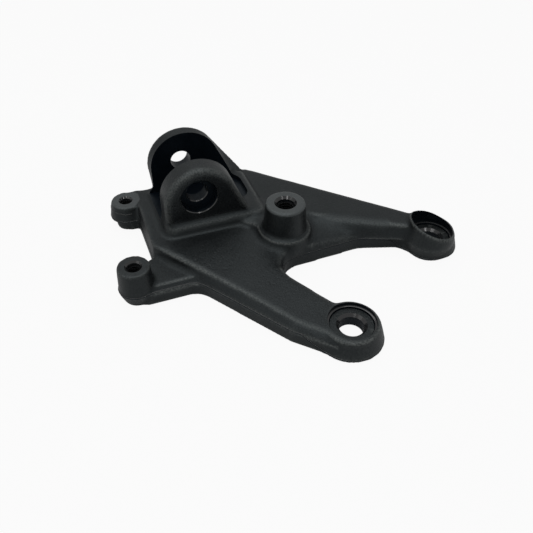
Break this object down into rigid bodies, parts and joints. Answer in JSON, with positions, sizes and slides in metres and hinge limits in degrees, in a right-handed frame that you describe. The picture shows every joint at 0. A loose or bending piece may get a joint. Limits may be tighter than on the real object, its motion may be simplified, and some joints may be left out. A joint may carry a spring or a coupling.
{
  "type": "motorcycle footrest hanger",
  "caption": "Cast footrest hanger for a motorcycle: a thick forked plate with a clevis for a folding footrest, counterbored frame bolt arms and raised threaded bosses.",
  "frame": {"origin": "axis of the lower frame bolt's bore, on the mounting face", "axes": "+Z along the frame bolt bores, away from the mounting face; -Y along the footrest pin's bore, the way the pin leaves; the upper frame bolt lies on the +X, +Y side"},
  "size_m": [0.1358, 0.1091, 0.0388],
  "materials": {
    "coated_casting": "satin black coating over a fine cast surface, darker and smoother where it is machined"
  },
  "bodies": {
    "root": {"footrest_hanger": "coated_casting"}
  },
  "joints": []
}
